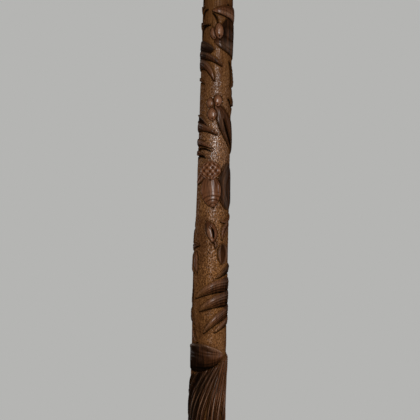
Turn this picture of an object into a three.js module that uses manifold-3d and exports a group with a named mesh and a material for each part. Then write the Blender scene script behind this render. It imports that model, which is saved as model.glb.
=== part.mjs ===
// A carved wooden walking cane, standing upright with its rubber tip on the ground.
// Millimetres, +Z up. The origin is the centre of the tip's tread.
// The handle runs along X. Turns round the shaft are in degrees: 0 faces -Y and 90 faces -X.

import * as THREE from 'three';
import { mergeVertices } from 'three/addons/utils/BufferGeometryUtils.js';
import Module from 'manifold-3d';

const wasm = await Module();
wasm.setup();

// Whole cane
const caneHeight = 914;
const seatGap = 0.3;
const cutOverrun = 3;

// Carved shaft
const shaftFootRadius = 9.6;
const shaftHeadRadius = 14.4;
const shaftTaperPower = 1.15;
const shaftSides = 24;
const shaftRings = 12;
const swellRise = 0.9;
const swellLength = 34;
const swellTurn = -80;
const swellShare = 0.655;
const plainNeckLength = 30;
const frontCarvingLength = 336;
const lowerCarvingLength = 220;
const reliefRise = 1.25;
const reliefEdge = 0.55;
const reliefRoot = 1.6;

// Brass collar between the shaft and the handle
const collarLength = 24;
const collarWall = 1.5;
const collarGroove = 0.6;
const collarGrooveWidth = 1.6;
const collarChamfer = 0.5;

// Steel rod glued into the shaft and the handle
const rodRadius = 4;
const rodLength = 84;
const rodChamfer = 1;

// Handle
const handleLength = 128;
const handleDepth = 31;
const handleThickness = 30;
const neckLength = 23;
const handleSides = 20;

// Sides of the small round pieces
const rodSides = 12;
const pinSides = 10;
const ringSides = 32;

// Brass ferrule on the shaft's foot, with its two pins
const ferruleWall = 0.8;
const ferruleFloor = 1;
const ferruleShow = 18;
const ferruleChamfer = 0.8;
const pinRadius = 0.9;
const pinHeadRadius = 1.7;
const pinHeadRise = 0.6;
const pinLength = 6;
const pinDrop = 6;
const pinCrownShare = 0.55;

// Rubber tip with its steel washer
const tipHeight = 42;
const tipFloor = 10;
const tipTopWall = 2.9;
const tipBodySpread = 1;
const tipTreadRadius = 16.5;
const tipTreadHeight = 7;
const tipWaistDepth = 1.2;
const tipWaistHeight = 15;
const treadGroove = 1.5;
const treadGrooveWidth = 1.4;
const treadRings = 2;
const tipChamfer = 1;
const washerThickness = 1.6;

// Heights and radii worked out from the sizes above
const washerFoot = tipFloor + seatGap;
const ferruleFoot = washerFoot + washerThickness + seatGap;
const ferruleHead = tipHeight + ferruleShow;
const ferruleRadius = shaftFootRadius;
const footSpigotRadius = ferruleRadius - ferruleWall - seatGap;
const footSpigotEnd = ferruleFoot + ferruleFloor + seatGap;
const shaftFoot = ferruleHead + seatGap;
const collarHead = caneHeight - handleDepth - neckLength;
const collarFoot = collarHead - collarLength;
const collarBore = shaftHeadRadius - seatGap;
const headSpigotRadius = collarBore - seatGap;
const collarRadius = collarBore + collarWall;
const jointHeight = collarFoot + collarLength / 2;
const shaftTop = jointHeight - seatGap / 2;
const shaftShoulder = collarFoot - seatGap;
const rodBore = rodRadius + seatGap;
const rodFoot = jointHeight - rodLength / 2;
const rodHead = jointHeight + rodLength / 2;
const socketRadius = ferruleRadius + seatGap;
const tipTopRadius = socketRadius + tipTopWall;
const tipBodyRadius = tipTopRadius + tipBodySpread;
const pinHeight = ferruleHead - pinDrop;
const carvingHead = collarFoot - plainNeckLength;
const carvingMiddle = carvingHead - frontCarvingLength;
const carvingFoot = carvingMiddle - lowerCarvingLength;
const swellHeight = carvingMiddle + frontCarvingLength * swellShare;

function point(turn, radius, height) {
  const angle = THREE.MathUtils.degToRad(turn);
  return new THREE.Vector3(-radius * Math.sin(angle), -radius * Math.cos(angle), height);
}

// The bare shaft tapers towards its foot and swells a little on one side
function shaftRadius(turn, height) {
  const share = THREE.MathUtils.clamp((height - shaftFoot) / (shaftShoulder - shaftFoot), 0, 1);
  const taper = shaftFootRadius + (shaftHeadRadius - shaftFootRadius) * share ** shaftTaperPower;
  const side = Math.max(0, Math.cos(THREE.MathUtils.degToRad(turn - swellTurn)));
  const along = (height - swellHeight) / swellLength;
  return taper + swellRise * side * Math.exp(-along * along);
}

function solidOf(geometry) {
  const bare = geometry.clone();
  bare.deleteAttribute('normal');
  bare.deleteAttribute('uv');
  const merged = mergeVertices(bare);
  return new wasm.Manifold(new wasm.Mesh({
    numProp: 3,
    vertProperties: new Float32Array(merged.attributes.position.array),
    triVerts: new Uint32Array(merged.index.array),
  }));
}

function geometryOf(solid) {
  const mesh = solid.getMesh();
  const geometry = new THREE.BufferGeometry();
  geometry.setAttribute('position', new THREE.BufferAttribute(mesh.vertProperties, 3));
  geometry.setIndex(new THREE.BufferAttribute(mesh.triVerts, 1));
  geometry.computeVertexNormals();
  return geometry;
}

// A closed skin over rings of points, with a point at each end. Rings run anticlockwise seen from the end.
function loft(start, rings, end) {
  const sides = rings[0].length;
  const points = [start, ...rings.flat(), end];
  const last = points.length - 1;
  const faces = [];
  const at = (ring, side) => 1 + ring * sides + (side % sides);
  for (let side = 0; side < sides; side += 1) {
    faces.push(0, at(0, side + 1), at(0, side));
    faces.push(last, at(rings.length - 1, side), at(rings.length - 1, side + 1));
    for (let ring = 0; ring + 1 < rings.length; ring += 1) {
      faces.push(at(ring, side), at(ring, side + 1), at(ring + 1, side + 1));
      faces.push(at(ring, side), at(ring + 1, side + 1), at(ring + 1, side));
    }
  }
  const geometry = new THREE.BufferGeometry();
  geometry.setFromPoints(points);
  geometry.setIndex(faces);
  geometry.computeVertexNormals();
  return geometry;
}

// A turned piece round the Z axis, from a profile of [radius, height] points that starts and ends on the axis
function turned(profile, sides) {
  const outline = profile.map(([radius, height]) => new THREE.Vector2(radius, height));
  const geometry = new THREE.LatheGeometry(outline, sides);
  geometry.rotateX(Math.PI / 2);
  return geometry;
}

function turnedBar(radius, foot, head, sides) {
  return turned([[0, foot], [radius, foot], [radius, head], [0, head]], sides);
}

// Carving
// Each motif is a raised blade that follows the shaft from its root to its tip. A row holds its kind, the
// turn and height share of its root and tip, its sideways bend as a share of its length, and its half width
// and rise as shares of the shaft's head radius and of the relief's rise.
const frontMotifShares = [
  ['leaf', -114, -0.019, -68, 0.012, 0.12, 0.14, 0.8],
  ['leaf', -110, 0.040, -49, 0.024, -0.15, 0.14, 0.8],
  ['leaf', -105, 0.052, -27, 0.062, -0.16, 0.15, 0.8],
  ['leaf', 101, -0.002, 51, 0.012, 0.1, 0.14, 0.8],
  ['leaf', 105, 0.148, -20, 0.031, 0.1, 0.42, 1],
  ['berry', -16, 0.074, -10, 0.094, 0, 0.17, 0.9],
  ['berry', 4, 0.066, 8, 0.088, 0, 0.18, 0.9],
  ['leaf', -98, 0.106, -11, 0.136, -0.1, 0.2, 1],
  ['leaf', -97, 0.129, 20, 0.16, -0.16, 0.18, 0.9],
  ['leaf', -96, 0.152, -9, 0.195, -0.28, 0.17, 0.9],
  ['leaf', -94, 0.19, -46, 0.202, -0.1, 0.1, 0.7],
  ['leaf', 105, 0.148, 74, 0.21, -0.1, 0.18, 0.8],
  ['leaf', 108, 0.229, 66, 0.248, -0.1, 0.14, 0.8],
  ['leaf', 104, 0.371, 4, 0.262, 0.08, 0.28, 1],
  ['berry', -4, 0.232, 4, 0.252, 0, 0.18, 1],
  ['berry', 14, 0.238, 20, 0.26, 0, 0.18, 0.9],
  ['berry', -22, 0.25, -16, 0.272, 0, 0.17, 0.9],
  ['leaf', -104, 0.283, -31, 0.305, -0.1, 0.2, 1],
  ['leaf', -106, 0.308, 10, 0.326, -0.1, 0.18, 0.9],
  ['leaf', -104, 0.343, -9, 0.36, -0.1, 0.15, 0.9],
  ['leaf', -103, 0.369, -38, 0.377, -0.06, 0.12, 0.8],
  ['bud', -8, 0.41, -2, 0.49, 0.04, 0.44, 1.1],
  ['berry', -10, 0.386, -8, 0.432, 0, 0.53, 1.2],
  ['leaf', 56, 0.498, 50, 0.4, 0.1, 0.36, 1],
  ['bud', -24, 0.522, 18, 0.584, -0.1, 0.3, 1],
  ['strand', 14, 0.576, 27, 0.622, 0.1, 0.07, 0.7],
  ['leaf', 72, 0.5, 38, 0.531, -0.1, 0.17, 0.8],
  ['leaf', 54, 0.526, 41, 0.564, 0.1, 0.15, 0.8],
  ['leaf', 46, 0.58, 33, 0.622, -0.1, 0.28, 0.8],
  ['leaf', -100, 0.544, -84, 0.58, 0.1, 0.15, 0.8],
  ['leaf', -104, 0.604, -58, 0.588, -0.1, 0.13, 0.8],
  ['leaf', -76, 0.596, -68, 0.648, 0.1, 0.22, 0.8],
  ['leaf', 104, 0.634, 16, 0.662, 0.1, 0.16, 0.8],
  ['leaf', 110, 0.668, -53, 0.716, 0.12, 0.27, 1.1],
  ['leaf', 112, 0.704, -32, 0.752, 0.12, 0.25, 1.1],
  ['leaf', 112, 0.734, -12, 0.795, 0.12, 0.23, 1],
  ['leaf', 108, 0.765, 18, 0.8, 0.08, 0.17, 0.9],
  ['leaf', -104, 0.668, -92, 0.726, 0.08, 0.18, 0.8],
  ['leaf', -108, 0.74, -55, 0.762, -0.1, 0.15, 0.8],
  ['leaf', -98, 0.782, -46, 0.822, 0.3, 0.13, 0.8],
  ['leaf', 62, 0.848, -98, 0.845, 0.12, 0.5, 1],
];

// Long strands fan out of one root up to the collar
const strandCount = 11;
const strandRootTurns = [52, 84];
const strandRootShares = [0.86, 0.885];
const strandTipTurns = [-150, 62];
const strandTipShares = [1.0, 1.06];
const strandShape = { bendShare: -0.16, widthShare: 0.12, riseShare: 0.8 };

// Leafy sprays fill the back of the shaft and its lower carving
const leavesPerSpray = 7;
const sprayLeafShares = { reach: 0.62, climb: 0.2, bend: 0.18, width: 0.2, rise: 0.9, stemWidth: 0.08 };
const sprays = [
  { turn: 180, foot: carvingMiddle, head: carvingHead, lean: 24 },
  { turn: 20, foot: carvingFoot, head: carvingMiddle, lean: -34 },
  { turn: 200, foot: carvingFoot, head: carvingMiddle, lean: 30 },
];

// Half width of a motif along its length, as a share of its greatest half width
const widthProfiles = {
  leaf: (s) => Math.sin(Math.PI * s ** 0.8) ** 0.8,
  bud: (s) => Math.sin(Math.PI * s) ** 0.6,
  berry: (s) => Math.sin(Math.PI * s) ** 0.5,
  strand: (s) => Math.sin(Math.PI * s) ** 0.3,
};
const motifStations = { leaf: 4, bud: 4, berry: 3, strand: 3 };

// A raised blade from [turn, height] root to tip, sunk into the shaft underneath
function blade(kind, root, tip, bendShare, halfWidth, rise) {
  const alongTurn = tip[0] - root[0];
  const alongHeight = tip[1] - root[1];
  const middleRadius = shaftRadius((root[0] + tip[0]) / 2, (root[1] + tip[1]) / 2);
  const mmPerDegree = THREE.MathUtils.degToRad(middleRadius);
  const length = Math.hypot(alongTurn * mmPerDegree, alongHeight);
  const across = [-alongHeight / length, (alongTurn * mmPerDegree) / length];
  const place = (s, sideways, lift) => {
    const shift = sideways + bendShare * length * 4 * s * (1 - s);
    const turn = root[0] + alongTurn * s + (across[0] * shift) / mmPerDegree;
    const height = root[1] + alongHeight * s + across[1] * shift;
    return point(turn, shaftRadius(turn, height) + lift, height);
  };
  const rings = [];
  const stations = motifStations[kind];
  for (let station = 1; station <= stations; station += 1) {
    const s = station / (stations + 1);
    const half = halfWidth * widthProfiles[kind](s);
    rings.push([
      place(s, -half, -reliefRoot),
      place(s, -half, reliefEdge),
      place(s, 0, rise),
      place(s, half, reliefEdge),
      place(s, half, -reliefRoot),
    ]);
  }
  return solidOf(loft(place(0, 0, -reliefRoot / 2), rings, place(1, 0, -reliefRoot / 2)));
}

function frontMotifs() {
  return frontMotifShares.map(([kind, rootTurn, rootShare, tipTurn, tipShare, bend, width, rise]) => blade(
    kind,
    [rootTurn, carvingMiddle + frontCarvingLength * rootShare],
    [tipTurn, carvingMiddle + frontCarvingLength * tipShare],
    bend,
    shaftHeadRadius * width,
    reliefRise * rise,
  ));
}

function strands() {
  return Array.from({ length: strandCount }, (_, index) => {
    const s = index / (strandCount - 1);
    const mixed = (ends) => THREE.MathUtils.lerp(ends[0], ends[1], s);
    return blade(
      'strand',
      [mixed(strandRootTurns), carvingMiddle + frontCarvingLength * mixed(strandRootShares)],
      [mixed(strandTipTurns), Math.min(carvingMiddle + frontCarvingLength * mixed(strandTipShares), shaftShoulder)],
      strandShape.bendShare,
      shaftHeadRadius * strandShape.widthShare,
      reliefRise * strandShape.riseShare,
    );
  });
}

function spray({ turn, foot, head, lean }) {
  const tall = head - foot;
  const shares = sprayLeafShares;
  const parts = [blade(
    'strand',
    [turn - lean / 2, foot],
    [turn + lean / 2, head],
    shares.bend / 4,
    shaftHeadRadius * shares.stemWidth,
    reliefRise * shares.rise,
  )];
  for (let leaf = 0; leaf < leavesPerSpray; leaf += 1) {
    const s = (leaf + 1) / (leavesPerSpray + 1);
    const side = leaf % 2 === 0 ? 1 : -1;
    const rootTurn = turn + lean * (s - 1 / 2);
    const reach = THREE.MathUtils.radToDeg(shares.reach) * side;
    const rootHeight = foot + tall * (s - shares.climb / 4);
    parts.push(blade(
      'leaf',
      [rootTurn, rootHeight],
      [rootTurn + 2 * reach, rootHeight + tall * shares.climb],
      -side * shares.bend,
      shaftHeadRadius * shares.width,
      reliefRise * shares.rise,
    ));
  }
  return parts;
}

const shaftWood = new THREE.MeshStandardMaterial({ color: 0x6b3f1e, roughness: 0.4, metalness: 0 });
const handleWood = new THREE.MeshStandardMaterial({ color: 0x3a1c10, roughness: 0.35, metalness: 0 });
const collarBrass = new THREE.MeshStandardMaterial({ color: 0xb8923f, roughness: 0.3, metalness: 1 });
const ferruleBrass = new THREE.MeshStandardMaterial({ color: 0xa8843c, roughness: 0.38, metalness: 1 });
const pinBrass = new THREE.MeshStandardMaterial({ color: 0xc09a48, roughness: 0.35, metalness: 1 });
const rodSteel = new THREE.MeshStandardMaterial({ color: 0x8e9093, roughness: 0.4, metalness: 1 });
const washerSteel = new THREE.MeshStandardMaterial({ color: 0x9a9c9e, roughness: 0.45, metalness: 1 });
const tipRubber = new THREE.MeshStandardMaterial({ color: 0x1b1a19, roughness: 0.85, metalness: 0 });

const cane = new THREE.Group();

function add(name, geometry, material) {
  const mesh = new THREE.Mesh(geometry, material.clone());
  mesh.name = name;
  cane.add(mesh);
  return mesh;
}

// A turned shape set into the ferrule along X, on the side given as 1 or -1
function setIntoFerrule(profile, side) {
  const geometry = turned(profile, pinSides);
  geometry.rotateY((side * Math.PI) / 2);
  geometry.translate(0, 0, pinHeight);
  return geometry;
}

function pinHole(side) {
  const depth = ferruleRadius - pinLength - seatGap;
  const radius = pinRadius + seatGap;
  const mouth = ferruleRadius + cutOverrun;
  return solidOf(setIntoFerrule([[0, depth], [radius, depth], [radius, mouth], [0, mouth]], side));
}

function makeShaft() {
  const rings = [];
  for (let ring = 0; ring <= shaftRings; ring += 1) {
    const height = THREE.MathUtils.lerp(shaftFoot, shaftShoulder, ring / shaftRings);
    const sides = Array.from({ length: shaftSides }, (_, side) => (-360 * side) / shaftSides);
    rings.push(sides.map((turn) => point(turn, shaftRadius(turn, height), height)));
  }
  const foot = new THREE.Vector3(0, 0, shaftFoot);
  const head = new THREE.Vector3(0, 0, shaftShoulder);
  let wood = solidOf(loft(foot, rings, head));
  for (const motif of [...frontMotifs(), ...strands(), ...sprays.flatMap(spray)]) {
    wood = wood.add(motif);
  }
  const footSpigot = turnedBar(footSpigotRadius, footSpigotEnd, shaftFoot + cutOverrun, shaftSides);
  const headSpigot = turnedBar(headSpigotRadius, shaftShoulder - cutOverrun, shaftTop, shaftSides);
  const bore = turnedBar(rodBore, rodFoot - seatGap, shaftTop + cutOverrun, rodSides);
  wood = wood.add(solidOf(footSpigot));
  const aboveShoulder = turnedBar(collarRadius + cutOverrun, shaftShoulder, collarHead, shaftSides);
  wood = wood.subtract(solidOf(aboveShoulder)).add(solidOf(headSpigot)).subtract(solidOf(bore));
  for (const side of [1, -1]) {
    wood = wood.subtract(pinHole(side));
  }
  return geometryOf(wood);
}

// The handle's bar along X: each row is a section's place along the length, its height above the bar's
// middle, its half depth and its half thickness, as shares of the handle's length, depth and half thickness
const barShares = [
  [-0.37, -0.2, 0.2, 0.34],
  [-0.34, -0.12, 0.36, 0.6],
  [-0.27, -0.03, 0.46, 0.78],
  [-0.14, 0.01, 0.49, 0.92],
  [0.02, 0, 0.48, 1],
  [0.18, -0.03, 0.45, 0.99],
  [0.34, -0.1, 0.42, 0.95],
  [0.48, -0.2, 0.39, 0.86],
  [0.56, -0.28, 0.33, 0.72],
  [0.6, -0.34, 0.2, 0.44],
];
const barNoseShare = -0.385;
const barTailShare = 0.615;
const neckShares = [[1, 0], [0.93, 0.3], [0.92, 0.55], [1, 1]];

function makeHandle() {
  const middle = caneHeight - handleDepth / 2;
  const section = ([along, lift, deep, thick]) => Array.from({ length: handleSides }, (_, side) => {
    const angle = (2 * Math.PI * side) / handleSides;
    return new THREE.Vector3(
      handleLength * along,
      (handleThickness / 2) * thick * Math.cos(angle),
      middle + handleDepth * (lift + deep * Math.sin(angle)),
    );
  });
  const endPoint = (along, row) => new THREE.Vector3(handleLength * along, 0, middle + handleDepth * row[1]);
  const nose = endPoint(barNoseShare, barShares[0]);
  const tail = endPoint(barTailShare, barShares[barShares.length - 1]);
  const bar = solidOf(loft(nose, barShares.map(section), tail));
  const neckFoot = collarHead + seatGap;
  const neckRise = middle - neckFoot;
  const neckSide = neckShares.map(([wide, up]) => [shaftHeadRadius * wide, neckFoot + neckRise * up]);
  const neck = turned([[0, neckFoot], ...neckSide, [0, middle]], handleSides);
  const spigot = turnedBar(headSpigotRadius, jointHeight + seatGap / 2, neckFoot + cutOverrun, handleSides);
  const bore = turnedBar(rodBore, jointHeight - cutOverrun, rodHead + seatGap, rodSides);
  return geometryOf(bar.add(solidOf(neck)).add(solidOf(spigot)).subtract(solidOf(bore)));
}

// A brass sleeve with two turned grooves, over the joint of shaft and handle
function makeCollar() {
  const outside = [];
  for (const share of [1 / 4, 3 / 4]) {
    const middle = collarFoot + collarLength * share;
    outside.push([collarRadius, middle - collarGrooveWidth / 2], [collarRadius - collarGroove, middle]);
    outside.push([collarRadius, middle + collarGrooveWidth / 2]);
  }
  return turned([
    [collarBore, collarFoot],
    [collarRadius - collarChamfer, collarFoot],
    [collarRadius, collarFoot + collarChamfer],
    ...outside,
    [collarRadius, collarHead - collarChamfer],
    [collarRadius - collarChamfer, collarHead],
    [collarBore, collarHead],
    [collarBore, collarFoot],
  ], ringSides);
}

function makeRod() {
  return turned([
    [0, rodFoot],
    [rodRadius - rodChamfer, rodFoot],
    [rodRadius, rodFoot + rodChamfer],
    [rodRadius, rodHead - rodChamfer],
    [rodRadius - rodChamfer, rodHead],
    [0, rodHead],
  ], rodSides);
}

// A brass cup drawn over the shaft's foot
function makeFerrule() {
  let cup = solidOf(turned([
    [0, ferruleFoot],
    [ferruleRadius - ferruleChamfer, ferruleFoot],
    [ferruleRadius, ferruleFoot + ferruleChamfer],
    [ferruleRadius, ferruleHead],
    [ferruleRadius - ferruleWall, ferruleHead],
    [ferruleRadius - ferruleWall, ferruleFoot + ferruleFloor],
    [0, ferruleFoot + ferruleFloor],
  ], ringSides));
  for (const side of [1, -1]) {
    cup = cup.subtract(pinHole(side));
  }
  return geometryOf(cup);
}

function makePin(side) {
  const headFoot = ferruleRadius + seatGap;
  return setIntoFerrule([
    [0, ferruleRadius - pinLength],
    [pinRadius, ferruleRadius - pinLength],
    [pinRadius, headFoot],
    [pinHeadRadius, headFoot],
    [pinHeadRadius * pinCrownShare, headFoot + pinHeadRise],
    [0, headFoot + pinHeadRise],
  ], side);
}

// A rubber cup with a flared tread. Round grooves cut the tread, and its centre stays flat.
function makeTip() {
  const tread = [];
  for (let ring = 1; ring <= treadRings; ring += 1) {
    const middle = (tipTreadRadius * ring) / (treadRings + 1);
    const [inner, outer] = [middle - treadGrooveWidth / 2, middle + treadGrooveWidth / 2];
    tread.push([inner, 0], [inner, treadGroove], [outer, treadGroove], [outer, 0]);
  }
  return turned([
    [0, 0],
    ...tread,
    [tipTreadRadius - tipChamfer, 0],
    [tipTreadRadius, tipChamfer],
    [tipTreadRadius, tipTreadHeight - tipChamfer],
    [tipTreadRadius - tipChamfer, tipTreadHeight],
    [tipBodyRadius - tipWaistDepth, tipTreadHeight + tipChamfer * 2],
    [tipBodyRadius, tipWaistHeight],
    [tipTopRadius, tipHeight - tipChamfer],
    [tipTopRadius - tipChamfer, tipHeight],
    [socketRadius, tipHeight],
    [socketRadius, tipFloor],
    [0, tipFloor],
  ], ringSides);
}

function makeWasher() {
  return turnedBar(socketRadius - seatGap, washerFoot, washerFoot + washerThickness, ringSides);
}

add('shaft', makeShaft(), shaftWood);
add('handle', makeHandle(), handleWood);
add('handle_collar', makeCollar(), collarBrass);
add('joint_rod', makeRod(), rodSteel);
add('tip_ferrule', makeFerrule(), ferruleBrass);
add('ferrule_pin_right', makePin(1), pinBrass);
add('ferrule_pin_left', makePin(-1), pinBrass);
add('rubber_tip', makeTip(), tipRubber);
add('tip_washer', makeWasher(), washerSteel);

export default cane;
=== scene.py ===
# A carved hardwood walking cane with a brass collar, a smooth wooden handle and a rubber tip.
# Lengths are in millimetres until a mesh is finished, and then in metres. Turns go round the shaft
# in degrees: 0 faces -Y, which is the front, and 90 faces -X.

import math

import bmesh
import bpy
import numpy as np
from mathutils import Matrix, Vector, noise


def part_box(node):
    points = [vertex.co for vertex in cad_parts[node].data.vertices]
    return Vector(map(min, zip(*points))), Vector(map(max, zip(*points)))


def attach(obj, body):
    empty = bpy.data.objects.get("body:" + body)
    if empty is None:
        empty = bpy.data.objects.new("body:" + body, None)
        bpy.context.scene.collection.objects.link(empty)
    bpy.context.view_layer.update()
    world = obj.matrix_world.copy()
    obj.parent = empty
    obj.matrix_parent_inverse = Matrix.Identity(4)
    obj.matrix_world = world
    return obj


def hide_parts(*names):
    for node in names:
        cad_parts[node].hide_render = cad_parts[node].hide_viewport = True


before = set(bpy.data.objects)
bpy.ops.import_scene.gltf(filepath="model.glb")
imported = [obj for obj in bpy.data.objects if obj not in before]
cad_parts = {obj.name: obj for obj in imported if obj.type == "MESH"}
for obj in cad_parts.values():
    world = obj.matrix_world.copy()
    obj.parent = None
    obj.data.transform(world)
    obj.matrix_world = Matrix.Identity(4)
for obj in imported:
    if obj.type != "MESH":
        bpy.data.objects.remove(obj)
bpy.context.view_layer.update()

MM_PER_METRE = 1000
SEED = 11


def node_box(name):
    """A CAD node's lowest and highest corners in millimetres."""
    return [np.array(corner) * MM_PER_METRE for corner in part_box(name)]


SHAFT_BOX = node_box("shaft")
HANDLE_BOX = node_box("handle")
COLLAR_BOX = node_box("handle_collar")
ROD_BOX = node_box("joint_rod")
FERRULE_BOX = node_box("tip_ferrule")
TIP_BOX = node_box("rubber_tip")
WASHER_BOX = node_box("tip_washer")
PIN_BOX = node_box("ferrule_pin_right")

# The joints between the pieces
SEAT_GAP = 0.3
COLLAR_WALL = 1.5
FERRULE_WALL = 0.8
SHAFT_FOOT = FERRULE_BOX[1][2] + SEAT_GAP
SHAFT_SHOULDER = COLLAR_BOX[0][2] - SEAT_GAP
SHAFT_FOOT_RADIUS = FERRULE_BOX[1][0]
COLLAR_BORE = COLLAR_BOX[1][0] - COLLAR_WALL
SHAFT_HEAD_RADIUS = COLLAR_BORE + SEAT_GAP
SPIGOT_RADIUS = COLLAR_BORE - SEAT_GAP
ROD_BORE = ROD_BOX[1][0] + SEAT_GAP
FERRULE_BORE = FERRULE_BOX[1][0] - FERRULE_WALL

# Carved shaft
TAPER_POWER = 1.15
PLAIN_NECK = 30
FRONT_CARVING = 336
LOWER_CARVING = 220
CARVING_HEAD = COLLAR_BOX[0][2] - PLAIN_NECK
CARVING_MIDDLE = CARVING_HEAD - FRONT_CARVING
CARVING_FOOT = CARVING_MIDDLE - LOWER_CARVING
SWELL_RISE = 0.9
SWELL_LENGTH = 34
SWELL_TURN = -80
SWELL_SHARE = 0.655
SWELL_HEIGHT = CARVING_MIDDLE + FRONT_CARVING * SWELL_SHARE
RELIEF_RISE = 1.25
EDGE_SLOPE = 0.4
BACK_EDGE_SLOPE = 0.9
DITCH_DEPTH = 0.8
DITCH_WIDTH = 0.55
DITCH_OFFSET = 0.42
# The ditch along each motif and a halo beside it on the open ground are painted dark as shade.
HALO_WIDTH = 1.8
WEAK_DITCH_SHARE = 0.3
HALO_SHARE = 0.3
UNDERLAY_SHARE = 0.3
MOTIF_STEPS = 40
LEAST_WIDTH = 0.05
LEAST_DISTANCE = 0.000001

# Punched pits and gouged flutes in the ground. A pit strays by a share of the spacing, starting from a
# little before its place.
PUNCH_SPACING = 1.4
PUNCH_RADIUS = 0.56
PUNCH_DEPTH = 0.28
PUNCH_STRAY_SHARE = 1.4
PUNCH_START_SHARE = 0.2
PUNCH_SIZE_SHARES = (0.6, 1.25)
PUNCH_TALL_SHARE = 1.3
GOUGE_WIDTH = 1.7
GOUGE_DEPTH = 0.16
GOUGE_DARKENING_SHARE = 0.34
GOUGE_DEPTH_SHARE = 0.7

# Layers of ripple, each with its strength and its size along X, Y and Z
GOUGE_WANDER = [(2.2, (7, 7, 42)), (0.5, (3, 3, 16))]
GOUGE_UNEVENNESS = [(0.6, (4, 4, 30))]
SHAFT_UNEVENNESS = [(0.16, (9, 9, 14)), (0.06, (2.2, 2.2, 5))]

# The shaft's mesh
LOWER_SPLIT_DROP = 6
UPPER_SPLIT_RISE = 180
LOWER_SPLIT = CARVING_MIDDLE - LOWER_SPLIT_DROP
UPPER_SPLIT = CARVING_MIDDLE + UPPER_SPLIT_RISE
FINE_COLUMNS = 200
LOWER_COLUMNS = 168
FRONT_CROWDING = 0.3
FINE_ROW = 0.42
LOWER_ROW = 0.69


def mix(low, high, share):
    return low + (high - low) * share


def smooth_step(values, low, high):
    share = np.clip((values - low) / (high - low), 0, 1)
    return share * share * (3 - 2 * share)


def bump(values, width):
    """A soft bump of height 1 round zero."""
    return np.exp(-(values / width) ** 2)


def ridges(values, sharpness):
    """A ridge of height 1 at each whole number."""
    return (0.5 + 0.5 * np.cos(2 * np.pi * values)) ** sharpness


def ripple(points, layers):
    """Smooth noise at each point, summed over layers of a strength and a size along each axis."""
    total = 0
    for strength, size in layers:
        values = [noise.noise(Vector(point)) for point in points / np.array(size)]
        total = total + strength * np.array(values)
    return total


def shaft_radius(turn, height):
    """The bare shaft tapers towards its foot and swells a little on one side."""
    share = np.clip((height - SHAFT_FOOT) / (SHAFT_SHOULDER - SHAFT_FOOT), 0, 1)
    taper = mix(SHAFT_FOOT_RADIUS, SHAFT_HEAD_RADIUS, share**TAPER_POWER)
    side = np.maximum(0, np.cos(np.radians(turn - SWELL_TURN)))
    return taper + SWELL_RISE * side * bump(height - SWELL_HEIGHT, SWELL_LENGTH)


def round_the_shaft(turn, radius, height):
    angle = np.radians(turn)
    return np.stack([-radius * np.sin(angle), -radius * np.cos(angle), height], axis=-1)


# Half width of each kind of motif along its length, as a share of its greatest half width
WIDTHS = {
    "leaf": lambda s: np.sin(np.pi * s**0.8) ** 0.8,
    "scoop": lambda s: np.sin(np.pi * s**0.9) ** 0.55,
    "blade": lambda s: (1 - s) ** 0.6 * np.minimum(1, s / 0.15) ** 0.5,
    "bud": lambda s: np.sin(np.pi * s) ** 0.6,
    "nut": lambda s: np.sin(np.pi * s) ** 0.6,
    "cap": lambda s: np.sin(np.pi * s) ** 0.5,
    "berry": lambda s: np.sin(np.pi * s) ** 0.5,
    "strand": lambda s: np.sin(np.pi * s) ** 0.3,
    "stem": lambda s: np.sin(np.pi * s) ** 0.3,
    "broad": lambda s: np.sin(np.pi * s**0.8) ** 0.7,
    "notch": lambda s: np.sin(np.pi * s**0.8) ** 0.6,
    "petal": lambda s: np.sin(np.pi * s**0.85) ** 0.55,
    "sepal": lambda s: (1 - s) ** 0.62 * np.minimum(1, s / 0.1) ** 0.5,
}


def ends(s, share):
    """Sinks a motif towards the ground at both ends."""
    return 0.35 + 0.65 * smooth_step(np.minimum(s, 1 - s), 0, share)


# The top of each kind of motif, from x = -1 to 1 across and s = 0 to 1 along: its height as a share of
# its rise, how dark it is painted, as shade in its lines, hollows and shaded side, and how light it is
# painted on its ridges, rims and domes, as painted highlight and partly as rubbed wear
def leaf_top(x, s):
    rib = bump(x, 0.18)
    veins = ridges(6.5 * s - 0.8 * np.abs(x), 4) * smooth_step(np.abs(x), 0.1, 0.3)
    height = (1 - 0.35 * x**2 - 0.34 * rib - 0.14 * veins) * ends(s, 0.2)
    return height, 0.62 * rib + 0.26 * veins, 0.5 * bump(np.abs(x) - 0.72, 0.2)


def scoop_top(x, s):
    rim = smooth_step(np.abs(x), 0.35, 0.85)
    height = (0.3 + 0.7 * rim) * ends(s, 0.12)
    return height, 0.4 * (1 - rim), 0.7 * rim


def blade_top(x, s):
    crest = 0.45
    fade = smooth_step(1 - s, 0, 0.4)
    height = np.where(x > crest, 0.4 + 0.6 * (1 - x) / (1 - crest), 0.35 + 0.65 * (x + 1) / (1 + crest))
    lines = ridges(2.4 * x + 0.8 * s + 0.25 * np.sin(9 * s), 2) * smooth_step(crest + 0.3 - x, 0, 0.5)
    # Painted shade in the lines and over the blade's lower side.
    dark = 0.5 * lines * smooth_step(-s, -0.95, -0.6) + 0.35 * smooth_step(-x, -0.2, 0.9)
    plain = (1 - lines) * smooth_step(x, -0.7, 0.2) * smooth_step(s, 0.3, 0.6)
    # Painted highlight along the crest, with some rubbed wear.
    rub_and_highlight = 0.4 * bump(x - crest, 0.24) + 0.25 * plain
    return (height * ends(s, 0.14) - 0.16 * lines) * fade, dark, rub_and_highlight


def bud_top(x, s):
    slit = bump(x + 0.25, 0.22) * smooth_step(np.minimum(s - 0.3, 0.92 - s), 0, 0.16)
    folds = ridges(2.4 * x + 1.5 * s, 4) * smooth_step(-s, -0.5, -0.3)
    height = np.sqrt(1 - 0.75 * x**2) * ends(s, 0.25) - 0.8 * slit - 0.15 * folds
    # Painted shade in the slit and folds, and a painted highlight on one face.
    return height, slit + 0.6 * folds, bump(x - 0.35, 0.35) * smooth_step(s, 0.25, 0.4)


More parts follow.
